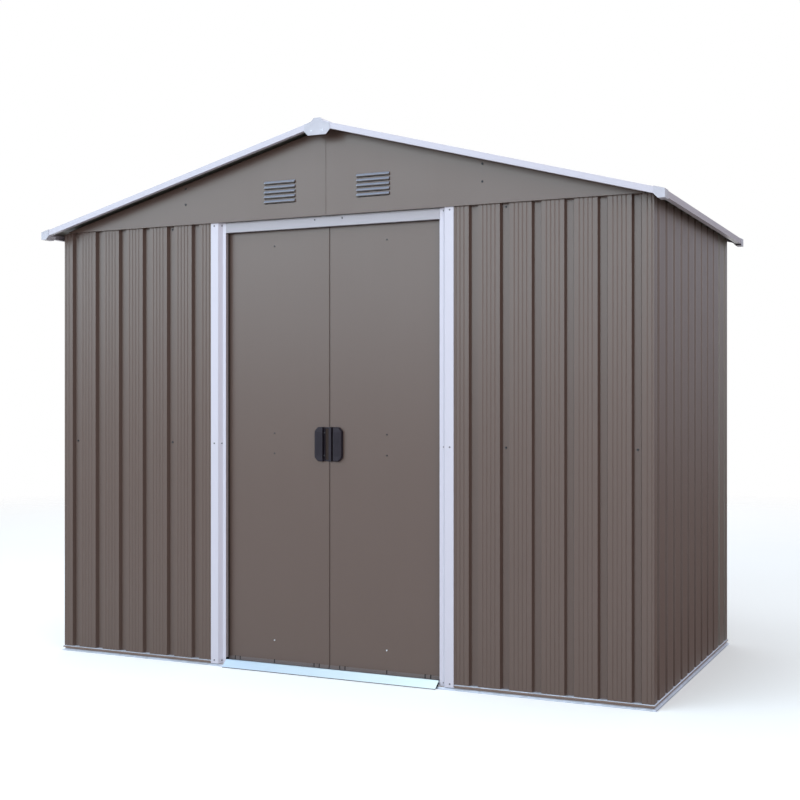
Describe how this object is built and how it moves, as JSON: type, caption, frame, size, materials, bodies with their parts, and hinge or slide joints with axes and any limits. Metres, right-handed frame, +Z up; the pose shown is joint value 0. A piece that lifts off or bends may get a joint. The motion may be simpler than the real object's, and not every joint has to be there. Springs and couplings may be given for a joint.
{
  "type": "metal storage shed",
  "caption": "Gabled sheet-steel garden shed with ribbed walls, louvred gables, white trim and a pair of sliding doors that run behind the front wall.",
  "frame": {"origin": "middle of the footprint, on the ground", "axes": "+X to the right along the front wall, +Y from the doors to the back wall, +Z up"},
  "size_m": [2.4636, 1.3902, 1.9844],
  "materials": {
    "taupe_sheet": "satin taupe coil-coated steel sheet",
    "white_trim": "satin off-white coated steel",
    "white_plastic": "off-white moulded plastic",
    "black_plastic": "black moulded plastic",
    "galvanised_steel": "zinc-coated rolled steel"
  },
  "bodies": {
    "shed": {"floor_rail_front": "galvanised_steel", "floor_rail_back": "galvanised_steel", "floor_rail_sides": "galvanised_steel", "door_ramp": "galvanised_steel", "floor_track": "galvanised_steel", "door_track": "galvanised_steel", "front_top_rail": "galvanised_steel", "back_top_rail": "galvanised_steel", "side_top_rails": "galvanised_steel", "wall_mid_rails": "galvanised_steel", "ridge_beam": "galvanised_steel", "roof_purlins": "galvanised_steel", "corner_panel_front_left": "taupe_sheet", "corner_panel_front_right": "taupe_sheet", "corner_panel_back_left": "taupe_sheet", "corner_panel_back_right": "taupe_sheet", "front_panel_left": "taupe_sheet", "front_panel_right": "taupe_sheet", "door_side_panel_left": "taupe_sheet", "door_side_panel_right": "taupe_sheet", "side_panel_left_front": "taupe_sheet", "side_panel_left_back": "taupe_sheet", "side_panel_right_front": "taupe_sheet", "side_panel_right_back": "taupe_sheet", "back_panel_1": "taupe_sheet", "back_panel_2": "taupe_sheet", "back_panel_3": "taupe_sheet", "back_panel_4": "taupe_sheet", "back_panel_5": "taupe_sheet", "gable_front_left": "taupe_sheet", "gable_front_right": "taupe_sheet", "gable_back_left": "taupe_sheet", "gable_back_right": "taupe_sheet", "roof_panel_left": "taupe_sheet", "roof_panel_right": "taupe_sheet", "door_jamb_left": "white_trim", "door_jamb_right": "white_trim", "door_header": "white_trim", "rake_trim_front": "white_trim", "rake_trim_back": "white_trim", "eave_trims": "white_trim", "ridge_cap": "white_trim", "ridge_end_plates": "white_plastic", "roof_corner_caps": "white_plastic"},
    "left_door": {"door_braces_left": "galvanised_steel", "door_leaf_left": "taupe_sheet", "door_handle_left": "black_plastic", "door_runners_left": "black_plastic"},
    "right_door": {"door_braces_right": "galvanised_steel", "door_leaf_right": "taupe_sheet", "door_handle_right": "black_plastic", "door_runners_right": "black_plastic"}
  },
  "joints": [
    {"name": "left_door_slide", "type": "slide", "parent": "shed", "child": "left_door", "axis": [-1, 0, 0], "range_m": [0, 0.363]},
    {"name": "right_door_slide", "type": "slide", "parent": "shed", "child": "right_door", "axis": [1, 0, 0], "range_m": [0, 0.381]}
  ]
}
